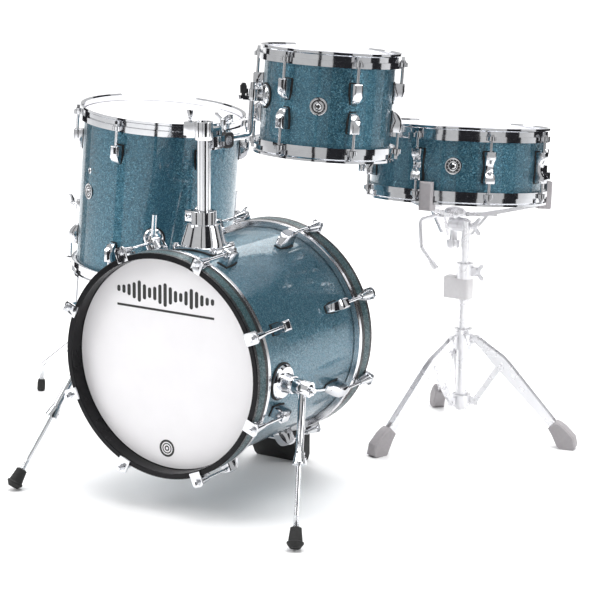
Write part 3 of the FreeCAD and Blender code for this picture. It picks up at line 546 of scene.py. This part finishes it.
# Rubber ends: how far each reaches along its rod, leg or arm
SPUR_FOOT_LONG = 40.2 * MM
FLOOR_FOOT_HIGH = 26.2 * MM
BOOT_LONG = 57.5 * MM
PAD_DEEP = 29.5 * MM
# A stand leg runs this far out and down from its pivot
LEG_RUN = 209 * MM
LEG_DROP = 204 * MM

for word in ("left", "right"):
    d = joint_axis("spur_%s_length" % word)
    co = coords("spur_rod_" + word)
    tip = Seat(Vector(co[np.argmax(co @ np.array(d))]), -d)

    def pick(c, n, tip=tip, d=d):
        return int((c - tip.o).dot(-d) < SPUR_FOOT_LONG)
    dress("spur_rod_" + word, [chrome, rubber], pick)
for k in (1, 2, 3):
    zmin = float(((coords("floor_leg_%d" % k) - np.array(floor.o)) @ np.array(floor.z)).min())

    def pick(c, n, zmin=zmin):
        return int((c - floor.o).dot(floor.z) < zmin + FLOOR_FOOT_HIGH)
    dress("floor_leg_%d" % k, [chrome, rubber], pick)
    piv = Vector(joints["leg_%d_fold" % k]["pos_m"])
    far = Vector(max(coords("stand_leg_%d" % k), key=lambda p: (Vector(p) - piv).to_2d().length))
    way = Vector((far.x - piv.x, far.y - piv.y, 0)).normalized()
    slope = Vector((way.x * LEG_RUN, way.y * LEG_RUN, -LEG_DROP)).normalized()
    total = math.hypot(LEG_RUN, LEG_DROP)

    def boot(c, n, piv=piv, slope=slope, total=total):
        return int((c - piv).dot(slope) > total - BOOT_LONG)
    dress("stand_leg_%d" % k, [pale, grey_rubber], boot)
    reach = max((Vector(p) - snare.o - snare.z * (Vector(p) - snare.o).dot(snare.z)).length
                for p in coords("basket_arm_%d" % k))

    def pad(c, n, reach=reach):
        d = c - snare.o
        d = d - snare.z * d.dot(snare.z)
        return int(d.length > reach - PAD_DEEP)
    dress("basket_arm_%d" % k, [pale, grey_rubber], pad)

# ---------------------------------------------------------------- gaskets
def gasket_set(name, seat, r, body, angles, rows_list, thick=1.3 * MM):
    """Black gaskets under a ring of lugs, as one piece."""
    b = Build()
    for a in angles:
        for rows in rows_list:
            b.patch(seat, r, a, rows, thick, 3)
    return b.done(name, rubber, body, False)


def mirrored(rows):
    """The same gasket at the drum's other end."""
    return [(-z, w) for z, w in rows]


def lug_angles(seat, node, count):
    """Angles of the lugs, from the node's own vertices far from the shell."""
    co = coords(node) - np.array(seat.o)
    x = co @ np.array(seat.x)
    y = co @ np.array(seat.y)
    r = np.hypot(x, y)
    far = r > r.max() - 0.0012
    ang = np.degrees(np.arctan2(y[far], x[far]))
    step = 360.0 / count
    phase = np.degrees(np.angle(np.exp(1j * np.radians(ang * count)).mean())) / count
    return [phase + k * step for k in range(count)]


def z_range(seat, node):
    """Least and greatest height of a node in the upper half of its drum."""
    z = (coords(node) - np.array(seat.o)) @ np.array(seat.z)
    z = z[z > 0]
    return float(z.min()), float(z.max())


GASKET_MARGIN = 1.7 * MM


def single_rows(z0, z1, w):
    """Rows under a single-ended lug: narrow at the tail, wide at the rod."""
    m = GASKET_MARGIN
    return [(z0 - m, w * 0.62), (z0 - m + 0.0012, w * 0.66 + m * 0.6), (z0 + (z1 - z0) * 0.45, w + m),
            (z1 + m - 0.0015, w + m), (z1 + m, w + m * 0.4)]


tom_angles = lug_angles(tom, "tom_lugs", 6)
floor_angles = lug_angles(floor, "floor_lugs", 6)
snare_angles = lug_angles(snare, "snare_lugs", 8)
bass_angles = lug_angles(bass, "bass_lugs", 8)
LUG_HALF = 10 * MM
for nm, st, r, body, angs, w in (("tom", tom, TR, "rack_tom", tom_angles, LUG_HALF),
                                 ("floor", floor, FR, "floor_tom", floor_angles, LUG_HALF),
                                 ("bass", bass, BR, "bass_drum", bass_angles, LUG_HALF)):
    z0, z1 = z_range(st, nm + "_lugs")
    rows = single_rows(z0, z1, w)
    gasket_set(nm + "_lug_gaskets", st, r, body, angs, [rows, mirrored(rows)])
# The snare's lugs are double ended with a waist
z0, z1 = z_range(snare, "snare_lugs")
m = GASKET_MARGIN
g = LUG_HALF + 2.2 * MM
rows = [(-z1 - m, g - 1.5 * MM), (-z1 - m + 0.0012, g), (-z1 * 0.66, g), (-z1 * 0.3, g - 1.9 * MM),
        (0, g - 2.6 * MM), (z1 * 0.3, g - 1.9 * MM), (z1 * 0.66, g), (z1 + m - 0.0012, g),
        (z1 + m, g - 1.5 * MM)]
gasket_set("snare_lug_gaskets", snare, SR, "snare_drum", snare_angles, [rows])


def angle_on(seat, p):
    """Angle and height of a point on a round shell."""
    d = Vector(p) - seat.o
    return math.degrees(math.atan2(d.dot(seat.y), d.dot(seat.x))), d.dot(seat.z)


arm_up = Vector(joints["tom_swing"]["pos_m"])
tom_bracket_deg, tom_bracket_z = angle_on(tom, arm_up)

b = Build()
b.patch(tom, TR, tom_bracket_deg, circle_rows(tom_bracket_z, 24.5 * MM), 2.2 * MM, 8)
b.done("tom_bracket_gasket", rubber, "rack_tom", False)
b = Build()
LEG_TOP_ABOVE_BRACKET = 56 * MM
for k in (1, 2, 3):
    co = coords("floor_leg_%d" % k)
    top = co[np.argmax((co - np.array(floor.o)) @ np.array(floor.z))]
    deg, z = angle_on(floor, top)
    b.patch(floor, FR, deg, circle_rows(z - LEG_TOP_ABOVE_BRACKET, 23.0 * MM), 1.8 * MM, 8)
b.done("floor_bracket_gaskets", rubber, "floor_tom", False)
b = Build()
for word in ("left", "right"):
    deg, z = angle_on(bass, joints["spur_%s_fold" % word]["pos_m"])
    b.patch(bass, BR, deg, circle_rows(z, 37.0 * MM, 14), 2.0 * MM, 12)
# The receiver's saddle stands on top of the shell, round the post
zz = bass.o.y - Vector(joints["head_swivel"]["pos_m"]).y
hw = 52.5 * MM
hl = 42.5 * MM
rows = [(zz - hl, hw - 9 * MM), (zz - hl + 3 * MM, hw - 3.5 * MM), (zz - hl + 9 * MM, hw),
        (zz + hl - 9 * MM, hw), (zz + hl - 3 * MM, hw - 3.5 * MM), (zz + hl, hw - 9 * MM)]
b.patch(bass, BR, 90.0, rows, 2.0 * MM, 14)
b.done("bass_mount_gaskets", rubber, "bass_drum", False)


# ---------------------------------------------------------------- badges
def badge(name, seat, r, deg, z, body, size=17 * MM):
    """Plain round badge with two rings, a row of studs and a vent."""
    s = seat.radial(r, deg, z)
    base = Build()
    base.lathe(s, [(0, -1.4 * MM), (size, -1.4 * MM), (size, 0.4 * MM), (size * 0.93, 0.9 * MM),
                   (0, 0.9 * MM)], 40)
    base.done(name + "_plate", ink, body)
    rings = Build()
    for r0, r1 in ((0.80, 0.98), (0.42, 0.60)):
        rings.lathe(s, [(size * r0, 0.7 * MM), (size * r0, 1.5 * MM), (size * (r0 + r1) / 2, 1.8 * MM),
                        (size * r1, 1.5 * MM), (size * r1, 0.7 * MM), (size * r0, 0.7 * MM)], 40)
    for k in range(12):
        a = 2 * math.pi * k / 12
        t = Seat(s.at(size * 0.7 * math.cos(a), size * 0.7 * math.sin(a), 0), s.z,
                 s.way(math.cos(a), math.sin(a), 0))
        rings.box(t, -size * 0.07, size * 0.07, -size * 0.035, size * 0.035, 0.7 * MM, 1.3 * MM)
    rings.lathe(s, [(3.2 * MM, 0.8 * MM), (3.2 * MM, 1.9 * MM), (4.6 * MM, 2.2 * MM), (5.6 * MM, 1.6 * MM),
                    (5.6 * MM, 0.8 * MM), (3.2 * MM, 0.8 * MM)], 28)
    rings.done(name + "_rings", chrome, body)


def between_lugs(angles, near):
    """Middle of a gap between two lugs, the one next to an angle in degrees."""
    step = angles[1] - angles[0]
    return angles[0] + step / 2 - step * round((angles[0] - near) / step)


badge("tom_badge", tom, TR, between_lugs(tom_angles, -97), 0.0, "rack_tom")
badge("snare_badge", snare, SR, between_lugs(snare_angles, -88), 0.0, "snare_drum")
floor_badge = between_lugs(floor_angles, -147)
badge("floor_badge", floor, FR, floor_badge, 8 * MM, "floor_tom")
s = floor.radial(FR, floor_badge, 52 * MM)
b = Build()
b.lathe(s, [(3.2 * MM, -1 * MM), (3.2 * MM, 0.8 * MM), (5.0 * MM, 1.2 * MM), (6.4 * MM, 0.4 * MM),
            (6.4 * MM, -1 * MM)], 28)
b.done("floor_vent", chrome, "floor_tom")
# Black disc filling the vent's hole: painted shade standing in for the dark inside of the drum.
b = Build()
b.lathe(s, [(0, 0.1 * MM), (3.3 * MM, 0.1 * MM), (3.3 * MM, -1 * MM)], 24)
b.done("floor_vent_hole_painted_shade", ink, "floor_tom")

# ---------------------------------------------------------------- threads
THREAD_TURNS = 17
THREAD_PITCH = 1.15 * MM
THREAD_FROM_TIP = 60 * MM
THREAD_ROOT = 5.02 * MM
THREAD_CREST = 5.45 * MM
for word in ("left", "right"):
    d = joint_axis("spur_%s_length" % word)
    co = coords("spur_rod_" + word)
    tip = Vector(co[np.argmax(co @ np.array(d))])
    top = Vector(co[np.argmin(co @ np.array(d))])
    near = co[np.abs((co - np.array(top)) @ np.array(d)) < 0.0008]
    s = Seat(Vector((near.max(0) + near.min(0)) / 2), d)
    length = (tip - s.o).dot(d)
    b = Build()
    profile = []
    for k in range(THREAD_TURNS):
        z = length - THREAD_FROM_TIP + k * THREAD_PITCH
        profile += [(THREAD_ROOT, z), (THREAD_CREST, z + 0.5 * MM), (THREAD_ROOT, z + 1.0 * MM)]
    b.lathe(s, profile, 28)
    b.done("spur_thread_" + word, chrome, body_of_node["spur_rod_" + word])

# ---------------------------------------------------------------- front head graphic
front_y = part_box("bass_front_head")[0].y
gz = Seat((bass.o.x, front_y, bass.o.z), (0, -1, 0))
bars = Build()
# A row of round-ended bars with a line under it
BAR_HEIGHTS = (5, 9, 15, 24, 34, 22, 13, 19, 30, 38, 26, 15, 10, 20, 32, 24, 14, 8, 5)
BAR_STEP = 11.8 * MM
BAR_HALF = 3.7 * MM
PRINT_X = -9 * MM
BARS_UP = 131 * MM
LINE_HALF = 110 * MM
INK_LOW = 0.02 * MM
INK_TOP = 0.22 * MM
for k, h in enumerate(BAR_HEIGHTS):
    x = (k - (len(BAR_HEIGHTS) - 1) / 2) * BAR_STEP + PRINT_X
    pts = []
    for side in (1, -1):
        for c in range(7):
            a = math.pi * c / 6 + (0 if side > 0 else math.pi)
            pts.append((x + BAR_HALF * math.cos(a), BARS_UP + side * h * 0.5 * MM + BAR_HALF * math.sin(a)))
    bars.prism(gz, pts, INK_LOW, INK_TOP)
left = PRINT_X - LINE_HALF
right = PRINT_X + LINE_HALF
bars.prism(gz, [(left, 98 * MM), (right, 98 * MM), (right, 102.5 * MM), (left, 102.5 * MM)], INK_LOW, INK_TOP)
bars.done("front_head_print", ink, "bass_drum", False)
seal = Build()
seal_at = Seat(gz.at(-6 * MM, -167 * MM, 0), gz.z)
for r0, r1 in ((12.6, 17.0), (8.2, 10.4), (2.8, 5.4)):
    seal.lathe(seal_at, [(r0 * MM, INK_LOW), (r0 * MM, INK_TOP), (r1 * MM, INK_TOP), (r1 * MM, INK_LOW)], 48)
seal.done("front_head_seal", ink, "bass_drum", False)


# ---------------------------------------------------------------- studio
def stage_mesh(name, verts, faces, mat):
    me = bpy.data.meshes.new(name)
    me.from_pydata(verts, [], faces)
    me.materials.append(mat.m)
    ob = bpy.data.objects.new(name, me)
    bpy.context.scene.collection.objects.link(ob)
    return ob


# The floor lies just under the feet
FLOOR_HALF = 60.0
FLOOR_Z = -0.0004
ground = Mat("studio_floor", (0.86, 0.86, 0.865), 0.55, spec=0.25)
ground.color(ground.mix(ground.noise(1.5, 3.0), (0.86, 0.86, 0.865), (0.875, 0.875, 0.88)))
corners = [(x * FLOOR_HALF, y * FLOOR_HALF, FLOOR_Z) for x, y in ((-1, -1), (1, -1), (1, 1), (-1, 1))]
stage_mesh("studio_floor", corners, [(0, 1, 2, 3)], ground)

dark = Mat("dark_card", (0.012, 0.012, 0.014), 0.9, spec=0.0)
dark.color(dark.mix(dark.noise(3.0, 2.0), (0.010, 0.010, 0.012), (0.016, 0.016, 0.018)))


def card(name, azimuth, distance, width, z0, z1):
    """Upright dark card that only shows in reflections."""
    a = math.radians(azimuth)
    away = Vector((math.sin(a), -math.cos(a), 0)) * distance
    side = Vector((math.cos(a), math.sin(a), 0)) * width / 2
    v = [away - side + Vector((0, 0, z0)), away + side + Vector((0, 0, z0)),
         away + side + Vector((0, 0, z1)), away - side + Vector((0, 0, z1))]
    ob = stage_mesh(name, [tuple(p) for p in v], [(0, 1, 2, 3)], dark)
    ob.visible_camera = False
    ob.visible_diffuse = False
    ob.visible_shadow = False
    return ob


card("card_front", 52, 2.0, 0.95, 0.0, 2.6)
card("card_near", 20, 2.0, 0.16, 0.0, 2.6)
card("card_left", -30, 2.0, 0.45, 0.0, 2.4)
card("card_right", 104, 2.0, 0.6, 0.0, 2.4)
card("card_back", 158, 2.2, 1.9, 0.3, 2.8)
card("card_side", 262, 2.0, 0.55, 0.0, 2.4)

world = bpy.data.worlds.new("studio")
bpy.context.scene.world = world
world.use_nodes = True
world.node_tree.nodes["Background"].inputs["Color"].default_value = (1.0, 1.0, 1.0, 1)
world.node_tree.nodes["Background"].inputs["Strength"].default_value = 0.62


def area(name, where, aim, size, power):
    """Square soft light turned towards a point."""
    li = bpy.data.lights.new(name, "AREA")
    li.energy = power
    li.shape = "RECTANGLE"
    li.size = size
    li.size_y = size
    ob = bpy.data.objects.new(name, li)
    ob.location = where
    d = Vector(aim) - Vector(where)
    ob.rotation_euler = d.to_track_quat("-Z", "Y").to_euler()
    bpy.context.scene.collection.objects.link(ob)
    return ob


area("key", (-2.6, -2.8, 3.0), (0, 0, 0.3), 2.2, 95)
area("top", (0.3, 0.2, 4.2), (0, 0, 0.4), 4.0, 230)
area("right", (3.6, 0.4, 2.2), (0, 0, 0.5), 1.8, 50)
area("back", (-5.0, 8.5, 7.5), (-5.0, 8.5, 0), 11.0, 900)

scene = bpy.context.scene
scene.view_settings.view_transform = "Standard"
scene.view_settings.look = "None"

# ---------------------------------------------------------------- camera
cam = bpy.data.cameras.new("camera")
cam.lens = 136.13
cam.sensor_width = 36.0
cam.clip_end = 200.0
cam_ob = bpy.data.objects.new("camera", cam)
scene.collection.objects.link(cam_ob)
yaw, pitch, roll = math.radians(31.385), math.radians(-13.451), math.radians(0.606)
turn = Matrix.Rotation(yaw, 4, "Z") @ Matrix.Rotation(math.pi / 2 + pitch, 4, "X")
turn = turn @ Matrix.Rotation(roll, 4, "Z")
turn.translation = Vector((2.47002, -3.82583, 1.39777))
cam_ob.matrix_world = turn
scene.camera = cam_ob
